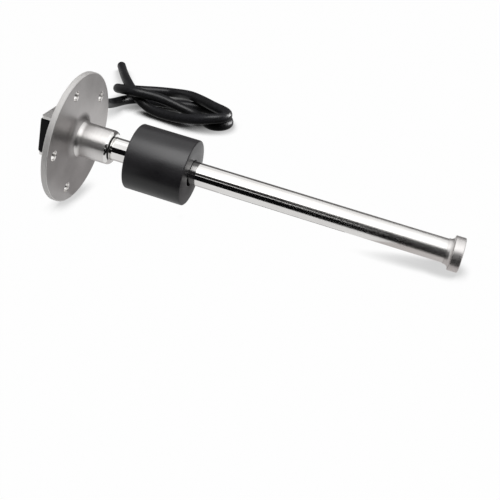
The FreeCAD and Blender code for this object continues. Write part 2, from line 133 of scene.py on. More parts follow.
def makeFinish(name, dark, light, grain, rough, bump, worn=0, **shader):
    # grain: the fine pattern's size in mm along the stem, across it and up; bump: its height in mm;
    # worn: the roughness that handling adds towards the stem's end
    material = bpy.data.materials.new(name)
    tree = emptyTree(material)
    inStem, fineSpace = stemPattern(tree, grain)
    fine = addNode(tree, "ShaderNodeTexNoise", {
        "Vector": fineSpace.outputs["Vector"], "Scale": 1, "Detail": 3, "Roughness": 0.6,
    })
    broad = addNode(tree, "ShaderNodeTexNoise", {
        "Vector": inStem.outputs["Vector"], "Scale": 1 / (finishSet["patch"] * mm), "Detail": 2,
    })
    both = addNode(tree, "ShaderNodeMath", {
        0: fine.outputs["Fac"], 1: broad.outputs["Fac"],
    }, operation="ADD")
    darkest, lightest = finishSet["tones"]
    spread = addNode(tree, "ShaderNodeMapRange", {
        "Value": both.outputs["Value"], "From Min": darkest, "From Max": lightest,
    })
    colour = addNode(tree, "ShaderNodeValToRGB", {"Fac": spread.outputs["Result"]})
    colour.color_ramp.elements[0].color = fromHex(dark)
    colour.color_ramp.elements[1].color = fromHex(light)
    even = addNode(tree, "ShaderNodeMapRange", {
        "Value": spread.outputs["Result"], "To Min": rough[0], "To Max": rough[1],
    })
    along = addNode(tree, "ShaderNodeSeparateXYZ", {"Vector": inStem.outputs["Vector"]})
    wornStart, wornEnd = finishSet["wornAlong"]
    dulled = addNode(tree, "ShaderNodeMapRange", {
        "Value": along.outputs["X"], "From Min": wornStart * mm, "From Max": wornEnd * mm, "To Max": worn,
    })
    roughness = addNode(tree, "ShaderNodeMath", {
        0: even.outputs["Result"], 1: dulled.outputs["Result"],
    }, operation="ADD")
    relief = addNode(tree, "ShaderNodeBump", {
        "Height": fine.outputs["Fac"], "Strength": 1, "Distance": bump * mm,
    })
    surface = addNode(tree, "ShaderNodeBsdfPrincipled", {
        "Base Color": colour.outputs["Color"], "Roughness": roughness.outputs["Value"],
        "Normal": relief.outputs["Normal"],
    })
    for socket, setting in shader.items():
        surface.inputs[socket.replace("_", " ")].default_value = setting
    addNode(tree, "ShaderNodeOutputMaterial", {"Surface": surface.outputs["BSDF"]})
    return material


# Bead-blasted stainless plate: even grey with soft cloudy patches and no mirror image. Its base is darker
# than the turned steel's, partly for the blasted finish and partly as painted shade for the darker
# surroundings it reflects
blastedSteelPaintedShade = makeFinish(
    "blastedStainlessPaintedShade", "#93908f", "#b2afae", (0.5, 0.5, 0.5), (0.34, 0.46), 0.01, Metallic=1)
# Turned rim: a dull bright band that takes the studio's white all round. Its near-white, half-diffuse
# colour is partly the skimmed finish and partly painted light standing in for that white
skimmedSteelPaintedLight = makeFinish(
    "skimmedStainlessPaintedLight", "#eceae8", "#f6f4f2", (0.3, 6, 6), (0.55, 0.65), 0.006, Metallic=0.5)
# Turned stainless: brighter, with fine rings that stretch the highlights round the neck
turnedSteel = makeFinish(
    "turnedStainless", "#cfcccb", "#dedcda", (0.25, 8, 8), (0.27, 0.36), 0.004, Metallic=1)
# Drilled stainless: smooth bright hole walls that catch the backdrop
drilledSteel = makeFinish(
    "drilledStainless", "#e6e4e2", "#f2f0ee", (2, 2, 2), (0.22, 0.3), 0.0005, Metallic=1)
# Ground stainless of the welded cap: a satin that spreads light and dark into broad soft bands
groundSteel = makeFinish(
    "groundStainless", "#d2cfce", "#e0dedc", (0.3, 5, 5), (0.38, 0.46), 0.003, Metallic=1)
# Polished stainless tube: a near mirror with long bands of light and dark, duller towards the cap
polishedSteel = makeFinish(
    "polishedStainless", "#dedcda", "#ecebe9", (60, 2, 2), (0.04, 0.08), 0.0002, worn=0.26, Metallic=1)
# Burnished stainless of the neck's rounded end: bright, with its mirror image softened
burnishedSteel = makeFinish(
    "burnishedStainless", "#dedcda", "#ecebe9", (0.4, 4, 4), (0.13, 0.18), 0.0005, Metallic=1)
# Rolled stainless sheet: satin, with faint lines along the rolling direction
sheetSteel = makeFinish(
    "rolledStainlessSheet", "#dedcda", "#eceae8", (6, 0.4, 0.4), (0.24, 0.36), 0.004, Metallic=1)
# Foamed nitrile float: matt charcoal skin with a fine closed-cell grain
floatFoam = makeFinish(
    "foamedNitrile", "#161517", "#201f21", (0.5, 0.5, 0.5), (0.32, 0.42), 0.02, Specular_IOR_Level=0.38)
# Moulded ABS: black, with a fine spark-eroded texture that dulls its gloss
mouldedAbs = makeFinish(
    "mouldedAbs", "#0b0b0c", "#131315", (0.4, 0.4, 0.4), (0.36, 0.5), 0.012, Specular_IOR_Level=0.15)
# Neoprene: black and duller than the jacket
neoprene = makeFinish(
    "neoprene", "#121213", "#1c1c1d", (0.6, 0.6, 0.6), (0.5, 0.65), 0.02, Specular_IOR_Level=0.3)
# Extruded PVC jacket: near black with a soft sheen along its length
pvcJacket = makeFinish(
    "extrudedPvc", "#030303", "#060607", (1.6, 1.6, 1.6), (0.34, 0.42), 0.004, Specular_IOR_Level=0.03)
# Sintered ferrite: dark grey-brown and grainy
ferrite = makeFinish("sinteredFerrite", "#2b2a29", "#3a3836", (0.3, 0.3, 0.3), (0.5, 0.7), 0.01)
# Cast epoxy: glossy black with slow flow marks
epoxy = makeFinish("castEpoxy", "#141414", "#222120", (2.5, 2.5, 2.5), (0.12, 0.25), 0.01, IOR=1.56)
# Polyester sleeve: pale and slightly glossy
sleeveFilm = makeFinish(
    "polyesterSleeve", "#cdc8b4", "#dad6c4", (5, 0.8, 0.8), (0.28, 0.4), 0.004, IOR=1.57)
# Glass-fibre laminate under solder mask: green with the weave just showing
laminate = makeFinish(
    "glassFibreLaminate", "#14502c", "#1f6a3b", (0.6, 0.6, 0.6), (0.3, 0.45), 0.01, IOR=1.55)
# Infrared-absorbing glass of the reed capsules: clear green
reedGlass = makeFinish(
    "reedGlass", "#7fae86", "#9cc6a2", (2, 2, 2), (0.03, 0.08), 0.001, Transmission_Weight=0.8, IOR=1.51)
# Chip resistor: matt black overglaze on alumina
alumina = makeFinish("glazedAlumina", "#181819", "#262628", (0.5, 0.5, 0.5), (0.45, 0.6), 0.005)
# Extruded PVC insulation of the wires: red or black with a soft gloss
redPvc = makeFinish(
    "redPvcInsulation", "#8f1712", "#a81f19", (1.2, 1.2, 1.2), (0.3, 0.42), 0.004, IOR=1.53)
blackPvc = makeFinish(
    "blackPvcInsulation", "#151516", "#202022", (1.2, 1.2, 1.2), (0.3, 0.42), 0.004, IOR=1.53)
# Annealed copper strands: a warm dull shine
copper = makeFinish(
    "annealedCopper", "#b06a48", "#c98260", (0.3, 0.3, 0.3), (0.22, 0.35), 0.002, Metallic=1)

nodeFinishes = {
    "head_bracket": sheetSteel, "head_housing": mouldedAbs, "float_magnet": ferrite,
    "potting_plug": epoxy, "board_sleeve": sleeveFilm, "sensor_board": laminate,
    "lead_wire_signal": redPvc, "lead_wire_ground": blackPvc,
}
for name, node in frame["nodes"].items():
    finish = nodeFinishes.get(name)
    if name.startswith("reed_switch"):
        finish = reedGlass
    if name.startswith("resistor"):
        finish = alumina
    if finish:
        node.data.materials.clear()
        node.data.materials.append(finish)
print("materials made")


# Meshes turned round an axis
turning = {
    "onAxis": 1e-6,             # mm, a ring this small is one point
    "crisp": 32,                # degrees, a sharper edge isn't shaded smooth
}


def roundedProfile(corners, steps):
    # corners: (along, radius, rounding) in mm, in order round the section
    outline = []
    for index, (along, radius, rounding) in enumerate(corners):
        here = Vector((along, radius))
        if rounding == 0:
            outline.append(here)
            continue
        into = (here - Vector(corners[index - 1][:2])).normalized()
        out = (Vector(corners[(index + 1) % len(corners)][:2]) - here).normalized()
        turn = math.atan2(into.x * out.y - into.y * out.x, into.dot(out))
        trim = rounding * math.tan(abs(turn) / 2)
        begin = here - into * trim
        centre = begin + Vector((-into.y, into.x)) * math.copysign(rounding, turn)
        for step in range(steps + 1):
            spoke = begin - centre
            angle = turn * step / steps
            outline.append(centre + Vector((
                spoke.x * math.cos(angle) - spoke.y * math.sin(angle),
                spoke.x * math.sin(angle) + spoke.y * math.cos(angle))))
    return outline


def turnedMesh(name, outline, steps):
    work = bmesh.new()
    rings = []
    for along, radius in outline:
        if radius < turning["onAxis"]:
            rings.append([work.verts.new((along * mm, 0, 0))] * steps)
            continue
        angles = [2 * math.pi * step / steps for step in range(steps)]
        rings.append([
            work.verts.new((along * mm, radius * math.cos(angle) * mm, radius * math.sin(angle) * mm))
            for angle in angles
        ])
    for first, second in zip(rings, rings[1:] + rings[:1]):
        for step in range(steps):
            after = (step + 1) % steps
            corners = dict.fromkeys((first[step], first[after], second[after], second[step]))
            if len(corners) > 2:
                work.faces.new(list(corners))
    bmesh.ops.recalc_face_normals(work, faces=work.faces)
    mesh = bpy.data.meshes.new(name)
    work.to_mesh(mesh)
    work.free()
    return mesh


def addPiece(name, mesh, place, body, finishes=(), nodes=()):
    mesh.transform(place)
    for finish in finishes:
        mesh.materials.append(finish)
    mesh.polygons.foreach_set("use_smooth", [True] * len(mesh.polygons))
    mesh.set_sharp_from_angle(angle=math.radians(turning["crisp"]))
    piece = bpy.data.objects.new(name, mesh)
    scene.collection.objects.link(piece)
    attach(piece, body)
    if nodes:
        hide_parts(*nodes)
    return piece


# Geometry Nodes trees
def newGeometryTree(name, sockets):
    tree = bpy.data.node_groups.new(name, "GeometryNodeTree")
    tree.interface.new_socket("Geometry", in_out="INPUT", socket_type="NodeSocketGeometry")
    for label, kind in sockets.items():
        tree.interface.new_socket(label, in_out="INPUT", socket_type=kind)
    tree.interface.new_socket("Geometry", in_out="OUTPUT", socket_type="NodeSocketGeometry")
    return tree, addNode(tree, "NodeGroupInput").outputs


def runTree(name, mesh, tree, settings):
    carrier = bpy.data.objects.new(name, mesh)
    scene.collection.objects.link(carrier)
    modifier = carrier.modifiers.new(name, "NODES")
    modifier.node_group = tree
    for item in tree.interface.items_tree:
        if item.in_out == "INPUT" and item.name in settings:
            modifier[item.identifier] = settings[item.name]
    evaluated = carrier.evaluated_get(bpy.context.evaluated_depsgraph_get())
    result = bpy.data.meshes.new_from_object(evaluated)
    carrier.modifiers.clear()
    bpy.data.objects.remove(carrier)
    return result


# Flange and neck: turned, then drilled on the bolt circle
flangeSizes = {
    "thick": 3, "radius": 34.5, "rimRound": 0.5,
    "neckRadius": 9, "neckLength": 20, "neckRoot": 4.8, "neckEdge": 2.2, "bore": 6.1, "boreEdge": 0.2,
    "boltCircle": 54, "holes": 5, "holeRadius": 2.6, "holeEdge": 0.2, "holeFacets": 48,
    "holeBand": 5,              # flat rings this wide on each side of the bolt circle take the holes
    "rimBand": 0.6,             # the turned rim reaches this far onto the faces
    "flat": 0.9,                # the least share of a normal along the stem that makes a face flat
    "weld": 0.001,              # points closer than this become one after drilling
    "rootMargin": 0.4, "roundSteps": 8, "facets": 180,
}


def drilledFlangeTree():
    tree, enter = newGeometryTree("drilledFlange", {
        "Circle Radius": "NodeSocketFloat", "Hole Count": "NodeSocketInt",
        "Hole Radius": "NodeSocketFloat", "Edge": "NodeSocketFloat", "Thickness": "NodeSocketFloat",
        "Finish": "NodeSocketMaterial",
    })
    # One cutter drills a hole and sinks both its edges: the middle third of its length is the drill,
    # as long as the plate without its edges, and each end third widens at 45 degrees
    edges = addNode(tree, "ShaderNodeMath", {0: enter["Edge"], 1: -6.0}, operation="MULTIPLY")
    depth = addNode(tree, "ShaderNodeMath", {
        0: enter["Thickness"], 1: 3.0, 2: edges.outputs["Value"],
    }, operation="MULTIPLY_ADD")
    drill = addNode(tree, "GeometryNodeMeshCylinder", {
        "Vertices": flangeSizes["holeFacets"], "Side Segments": 3,
        "Radius": enter["Hole Radius"], "Depth": depth.outputs["Value"],
    })
    place = addNode(tree, "GeometryNodeInputPosition")
    level = addNode(tree, "ShaderNodeSeparateXYZ", {"Vector": place.outputs["Position"]})
    away = addNode(tree, "ShaderNodeMath", {0: level.outputs["Z"]}, operation="ABSOLUTE")
    quarter = addNode(tree, "ShaderNodeMath", {0: depth.outputs["Value"], 1: 0.25}, operation="MULTIPLY")
    isEnd = addNode(tree, "ShaderNodeMath", {
        0: away.outputs["Value"], 1: quarter.outputs["Value"],
    }, operation="GREATER_THAN")
    slender = addNode(tree, "ShaderNodeMath", {
        0: depth.outputs["Value"], 1: enter["Hole Radius"],
    }, operation="DIVIDE")
    widen = addNode(tree, "ShaderNodeMath", {
        0: slender.outputs["Value"], 1: 1 / 3, 2: 1.0,
    }, operation="MULTIPLY_ADD")
    factors = addNode(tree, "ShaderNodeCombineXYZ", {
        "X": widen.outputs["Value"], "Y": widen.outputs["Value"], "Z": 1.0,
    })
    widened = addNode(tree, "ShaderNodeVectorMath", {
        0: place.outputs["Position"], 1: factors.outputs["Vector"],
    }, operation="MULTIPLY")
    half = addNode(tree, "ShaderNodeMath", {0: enter["Thickness"], 1: -0.5}, operation="MULTIPLY")
    middle = addNode(tree, "ShaderNodeCombineXYZ", {"Z": half.outputs["Value"]})
    cutter = addNode(tree, "GeometryNodeSetPosition", {
        "Geometry": drill.outputs["Mesh"], "Selection": isEnd.outputs["Value"],
        "Position": widened.outputs["Vector"],
    })
    centred = addNode(tree, "GeometryNodeTransform", {
        "Geometry": cutter.outputs["Geometry"], "Translation": middle.outputs["Vector"],
    })
    circle = addNode(tree, "GeometryNodeMeshCircle", {
        "Vertices": enter["Hole Count"], "Radius": enter["Circle Radius"],
    })
    spread = addNode(tree, "GeometryNodeInstanceOnPoints", {
        "Points": circle.outputs["Mesh"], "Instance": centred.outputs["Geometry"],
    })
    cutters = addNode(tree, "GeometryNodeRealizeInstances", {"Geometry": spread.outputs["Instances"]})
    # The first hole lies on the side of the stem away from the cable
    turned = addNode(tree, "GeometryNodeTransform", {
        "Geometry": cutters.outputs["Geometry"],
        "Rotation": Matrix(((0, 0, 1), (-1, 0, 0), (0, -1, 0))).to_euler(),
    })
    cut = addNode(tree, "GeometryNodeMeshBoolean", {
        "Mesh 1": enter["Geometry"], "Mesh 2": turned.outputs["Geometry"],
    }, operation="DIFFERENCE", solver="EXACT")
    clean = addNode(tree, "GeometryNodeMergeByDistance", {
        "Geometry": cut.outputs["Mesh"], "Distance": flangeSizes["weld"] * mm,
    })
    real = addNode(tree, "GeometryNodeRealizeInstances", {"Geometry": clean.outputs["Geometry"]})
    dressed = addNode(tree, "GeometryNodeSetMaterial", {
        "Geometry": real.outputs["Geometry"], "Material": enter["Finish"],
    })
    addNode(tree, "NodeGroupOutput", {"Geometry": dressed.outputs["Geometry"]})
    return tree


def addFlange():
    s = flangeSizes
    pitch = s["boltCircle"] / 2
    root = s["neckRadius"] + s["neckRoot"] + s["rootMargin"]
    inside, outside = pitch - s["holeBand"], pitch + s["holeBand"]
    outline = roundedProfile([
        (-s["thick"], s["bore"], 0), (-s["thick"], inside, 0), (-s["thick"], outside, 0),
        (-s["thick"], s["radius"], s["rimRound"]), (0, s["radius"], s["rimRound"]),
        (0, outside, 0), (0, inside, 0), (0, root, 0),
        (0, s["neckRadius"], s["neckRoot"]), (s["neckLength"], s["neckRadius"], s["neckEdge"]),
        (s["neckLength"], s["bore"], s["boreEdge"]),
    ], s["roundSteps"])
    blank = turnedMesh("flangeBlank", outline, s["facets"])
    mesh = runTree("mountingFlange", blank, drilledFlangeTree(), {
        "Circle Radius": pitch * mm, "Hole Count": s["holes"], "Hole Radius": s["holeRadius"] * mm,
        "Edge": s["holeEdge"] * mm, "Thickness": s["thick"] * mm, "Finish": blastedSteelPaintedShade,
    })
    finishes = [blastedSteelPaintedShade, turnedSteel, skimmedSteelPaintedLight, burnishedSteel, drilledSteel]
    mesh.materials.clear()
    for face in mesh.polygons:
        along = face.center.x / mm
        radius = math.hypot(face.center.y, face.center.z) / mm
        isWall = abs(face.normal.x) < s["flat"]
        if isWall and inside < radius < outside:
            finish = drilledSteel
        elif along > s["neckLength"] - s["neckEdge"]:
            finish = burnishedSteel
        elif along > s["neckRoot"] / 2:
            finish = turnedSteel
        else:
            finish = skimmedSteelPaintedLight if radius > s["radius"] - s["rimBand"] else blastedSteelPaintedShade
        face.material_index = finishes.index(finish)
    addPiece(
        "mountingFlange", mesh, stemPlace, "sender", finishes, ["mounting_flange"])


addFlange()
print("flange drilled")


# Stem tube and end cap
tubeSizes = {
    "start": -4.5, "end": 197.5, "radius": 6, "wall": 1, "edge": 0.2, "roundSteps": 3, "facets": 160,
}
capSizes = {
    "start": 192.3, "band": 195, "end": 200, "bore": 6.1, "lip": 6.25, "radius": 8.6,
    "flare": 2.2, "shoulder": 0.5, "edge": 0.6, "seat": 197.5, "roundSteps": 8, "facets": 128,
}


def addTube():
    s = tubeSizes
    inner = s["radius"] - s["wall"]
    outline = roundedProfile([
        (s["start"], inner, 0), (s["start"], s["radius"], s["edge"]),
        (s["end"], s["radius"], s["edge"]), (s["end"], inner, 0),
    ], s["roundSteps"])
    mesh = turnedMesh("stemTube", outline, s["facets"])
    addPiece("stemTube", mesh, stemPlace, "sender", [polishedSteel], ["stem_tube"])


def addCap():
    s = capSizes
    outline = roundedProfile([
        (s["start"], s["bore"], 0), (s["start"], s["lip"], 0), (s["band"], s["lip"], s["flare"]),
        (s["band"], s["radius"], s["shoulder"]), (s["end"], s["radius"], s["edge"]), (s["end"], 0, 0),
        (s["seat"], 0, 0), (s["seat"], s["bore"], 0),
    ], s["roundSteps"])
    mesh = turnedMesh("endCap", outline, s["facets"])
    addPiece("endCap", mesh, stemPlace, "sender", [groundSteel], ["end_cap"])


addTube()
addCap()
print("tube and cap turned")


# Float: hangs on the tube with its clearance below
floatSizes = {
    "start": 31.6, "length": 31, "radius": 17, "bore": 6.8, "edge": 0.7, "boreEdge": 0.4, "drop": 0.5,
    "roundSteps": 6, "facets": 128,
}


def addFloat():
    s = floatSizes
    end = s["start"] + s["length"]
    outline = roundedProfile([
        (s["start"], s["bore"], s["boreEdge"]), (s["start"], s["radius"], s["edge"]),
        (end, s["radius"], s["edge"]), (end, s["bore"], s["boreEdge"]),
    ], s["roundSteps"])
    mesh = turnedMesh("floatBody", outline, s["facets"])
    place = stemPlace @ Matrix.Translation((0, 0, -s["drop"] * mm))
    return addPiece("floatBody", mesh, place, "float", [floatFoam], ["float_body"])


floatPiece = addFloat()
print("float turned")


# Cable grommet: turned round the cable's axis, which leaves the head sideways
grommetSizes = {
    "along": -10, "side": 10, "depth": 4, "nose": 3, "bore": 3.35, "radius": 4.15, "rim": 4.95,
    "seatEdge": 0.2, "rimEdge": 0.25, "noseEdge": 0.3, "boreEdge": 0.15, "roundSteps": 5, "facets": 64,
}


def addGrommet():
    s = grommetSizes
    seat, tip = s["side"] - s["depth"], s["side"] + s["nose"]
    outline = roundedProfile([
        (seat, s["bore"], 0), (seat, s["radius"], s["seatEdge"]),
        (s["side"], s["radius"], 0), (s["side"], s["rim"], s["rimEdge"]),
        (tip, s["radius"], s["noseEdge"]), (tip, s["bore"], s["boreEdge"]),
    ], s["roundSteps"])
    mesh = turnedMesh("cableGrommet", outline, s["facets"])
    sideways = Matrix.Translation((s["along"] * mm, 0, 0)) @ Matrix.Rotation(math.pi / 2, 4, "Z")
    place = stemPlace @ sideways
    addPiece("cableGrommet", mesh, place, "sender", [neoprene], ["cable_grommet"])


addGrommet()
print("grommet turned")


# Cable: the route's points in mm, from inside the head to the cut end
cableSizes = {
    "radius": 3.25, "roundSteps": 7, "pathSteps": 10,
    "coreRadius": 1.05, "coreApart": 1.15, "coreProud": 0.15, "coreDepth": 1.5, "coreEdge": 0.1,
    "coreSteps": 3, "coreFacets": 32,
    "strands": 6, "strandRing": 0.42, "strandRadius": 0.2, "strandLength": 0.2, "strandFacets": 12,
}
cableRoute = [
    (-100.389, 6.5, 35.434), (-100.389, 27, 35.434),
    (-103.5, 48.5, 34.5), (-112, 72, 28), (-121.5, 95, 18.5), (-128.5, 116, 9.2),
    (-130, 131.5, 4.8), (-127.6, 144.5, 3.3), (-119, 151.2, 3.25), (-107.7, 149.7, 3.25),
    (-94.6, 150.5, 3.25), (-81.5, 152.4, 3.25), (-69.5, 151.2, 3.25), (-58.5, 146.4, 3.25),
    (-52.2, 138.6, 3.25), (-49.3, 130.8, 3.25), (-52.4, 124.6, 3.25), (-58.9, 123.1, 3.25),
    (-65.5, 128.5, 3.25), (-73.9, 136.4, 3.8), (-86.7, 136.7, 7.4), (-98.2, 135.6, 11.4),
    (-108.6, 132.7, 13.9), (-118.5, 131.9, 14.7), (-130.6, 140.2, 12), (-138.2, 152.4, 7.6),
    (-136.6, 161.2, 4.4), (-127.5, 166.6, 3.3), (-113.5, 171.2, 3.25), (-100.5, 172.6, 3.4),
    (-85, 155.9, 9.5), (-73.6, 146.9, 10.6), (-62.6, 138.7, 10.6), (-51.5, 132.4, 10.4),
    (-48.9, 126.3, 10.3), (-51.6, 120.6, 10.2), (-57.8, 117.8, 9.8), (-67.4, 117.8, 7.6),
    (-81.6, 123.6, 4.4), (-95.1, 128.3, 3.3), (-105.4, 132.1, 4.2), (-112.9, 134.7, 7.6),
    (-119.8, 140.5, 10.2), (-127.8, 149.7, 12.4), (-138.5, 168.1, 10.4), (-152.6, 195.7, 5.2),
    (-161.9, 213.7, 3.25),
]


def addCable():
    curve = bpy.data.curves.new("cable", "CURVE")
    curve.dimensions = "3D"
    curve.bevel_depth = cableSizes["radius"] * mm
    curve.bevel_resolution = cableSizes["roundSteps"]
    curve.resolution_u = cableSizes["pathSteps"]
    curve.use_fill_caps = True
    spline = curve.splines.new("NURBS")
    spline.points.add(len(cableRoute) - 1)
    for point, place in zip(spline.points, cableRoute):
        point.co = (*(Vector(place) * mm), 1)
    spline.order_u = 3
    spline.use_endpoint_u = True
    curve.materials.append(pvcJacket)
    piece = bpy.data.objects.new("cableJacket", curve)
    scene.collection.objects.link(piece)
    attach(piece, "sender")
    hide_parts("cable")
    return piece


def strandTree():
    tree, enter = newGeometryTree("copperStrands", {
        "Strand Count": "NodeSocketInt", "Ring Radius": "NodeSocketFloat",
        "Strand Radius": "NodeSocketFloat", "Length": "NodeSocketFloat", "Finish": "NodeSocketMaterial",
    })
    ring = addNode(tree, "GeometryNodeMeshCircle", {
        "Vertices": enter["Strand Count"], "Radius": enter["Ring Radius"],
    })
    strand = addNode(tree, "GeometryNodeMeshCylinder", {
        "Vertices": cableSizes["strandFacets"],
        "Radius": enter["Strand Radius"], "Depth": enter["Length"],
    })
    around = addNode(tree, "GeometryNodeInstanceOnPoints", {
        "Points": ring.outputs["Mesh"], "Instance": strand.outputs["Mesh"],
    })
    core = addNode(tree, "GeometryNodeJoinGeometry")
    tree.links.new(around.outputs["Instances"], core.inputs["Geometry"])
    tree.links.new(strand.outputs["Mesh"], core.inputs["Geometry"])
    both = addNode(tree, "GeometryNodeInstanceOnPoints", {
        "Points": enter["Geometry"], "Instance": core.outputs["Geometry"],
    })
    real = addNode(tree, "GeometryNodeRealizeInstances", {"Geometry": both.outputs["Instances"]})
    dressed = addNode(tree, "GeometryNodeSetMaterial", {
        "Geometry": real.outputs["Geometry"], "Material": enter["Finish"],
    })
    addNode(tree, "NodeGroupOutput", {"Geometry": dressed.outputs["Geometry"]})
    return tree


def addCableEnd():
    s = cableSizes
    last, end = Vector(cableRoute[-2]), Vector(cableRoute[-1])
    way = (end - last).normalized()
    place = Matrix.Translation(end * mm) @ way.to_track_quat("Z", "Y").to_matrix().to_4x4()
    along = Matrix.Rotation(-math.pi / 2, 4, "Y")
    work = bmesh.new()
    outline = roundedProfile([
        (-s["coreDepth"], 0, 0), (-s["coreDepth"], s["coreRadius"], 0),
        (s["coreProud"], s["coreRadius"], s["coreEdge"]), (s["coreProud"], 0, 0),
    ], s["coreSteps"])
    for side in (-1, 1):
        core = turnedMesh("core", outline, s["coreFacets"])
        core.transform(Matrix.Translation((side * s["coreApart"] * mm, 0, 0)) @ along)
        first = len(work.faces)
        work.from_mesh(core)
        work.faces.ensure_lookup_table()
        for face in work.faces[first:]:
            face.material_index = 0 if side < 0 else 1
        bpy.data.meshes.remove(core)
    mesh = bpy.data.meshes.new("cableCores")
    work.to_mesh(mesh)
    work.free()
    cores = addPiece("cableCores", mesh, place, "sender", [redPvc, blackPvc])
    seats = bpy.data.meshes.new("strandSeats")
    proud = s["coreProud"] * mm
    seats.from_pydata([(side * s["coreApart"] * mm, 0, proud) for side in (-1, 1)], [], [])
    strands = runTree("copperStrands", seats, strandTree(), {
        "Strand Count": s["strands"], "Ring Radius": s["strandRing"] * mm,
        "Strand Radius": s["strandRadius"] * mm, "Length": s["strandLength"] * mm, "Finish": copper,
    })
    return [cores, addPiece("copperStrands", strands, place, "sender")]


def cableLength(piece):
    plain = piece.data.copy()
    plain.bevel_depth = 0
    probe = bpy.data.objects.new("cableLine", plain)
    line = bpy.data.meshes.new_from_object(probe)
    points = [vertex.co for vertex in line.vertices]
    bpy.data.objects.remove(probe)
    return sum((second - first).length for first, second in zip(points, points[1:]))


cable = addCable()
cableLength(cable)
addCableEnd()
print("cable laid")


# Studio: pale floor, white surroundings, soft lamps, and cards that only shiny surfaces show
studio = {
    "ambient": 0.1,             # the light that the surroundings give
    "floorHalf": 4,             # m
    "floorLevel": -0.1,         # mm, just under the gauge
    "paper": "#6a6a69",         # the part of the floor that takes shadows
    "glow": 1.03,               # the floor's own white
    "floorShare": 0.96,         # how much of the open floor is its own white
    "mirrorShare": 0.8,         # the same in what the metal mirrors
    "shadeReach": 10,           # mm, how far a piece darkens the floor beside it
    "shadeRange": (0.55, 0.85), # how open the floor is, at the shade's dark end and at its light end
    "shadeLeast": 0.6,          # the floor's own white left where a piece stands on it
    # Painted shade in the coil: its middle, and the reach over which it fades
    "coilMiddle": (-88, 145, 0),
    "coilReach": (25, 45),      # mm from there, over which the deep shade in the coil fades
    # The darkest painted shade, in spots between the cable's turns: middle and half sizes in mm, turn in
    # degrees
    "paintedGapShades": [((-97.5, 170.6, 0), (11, 4.5), 0), ((-97, 147, 0), (12, 5), -13)],
    "gapFade": (0.6, 1.2),      # in half sizes, over which a gap's shade fades
    "gapLeast": 0.05,           # the floor's own white left in a gap
}


def seenRays(tree):
    path = addNode(tree, "ShaderNodeLightPath")
    mirrored = addNode(tree, "ShaderNodeMath", {
        0: path.outputs["Is Glossy Ray"], 1: path.outputs["Is Transmission Ray"],
    }, operation="MAXIMUM")
    return path.outputs["Is Camera Ray"], mirrored.outputs["Value"]


def addWorld():
    world = bpy.data.worlds.new("studioWorld")
    scene.world = world
    tree = emptyTree(world)
    direct, mirrored = seenRays(tree)
    seen = addNode(tree, "ShaderNodeMath", {0: direct, 1: mirrored}, operation="MAXIMUM")
    lit = addNode(tree, "ShaderNodeBackground", {"Color": (1, 1, 1, 1), "Strength": studio["ambient"]})
    white = addNode(tree, "ShaderNodeBackground", {"Color": (1, 1, 1, 1), "Strength": 1})
    mixed = addNode(tree, "ShaderNodeMixShader", {
        0: seen.outputs["Value"], 1: lit.outputs["Background"], 2: white.outputs["Background"],
    })
    addNode(tree, "ShaderNodeOutputWorld", {"Surface": mixed.outputs["Shader"]})


def addSheet(name, corners, material):
    mesh = bpy.data.meshes.new(name)
    quads = [tuple(range(first, first + 4)) for first in range(0, len(corners), 4)]
    mesh.from_pydata(corners, [], quads)
    mesh.materials.append(material)
    sheet = bpy.data.objects.new(name, mesh)
    scene.collection.objects.link(sheet)
    return sheet


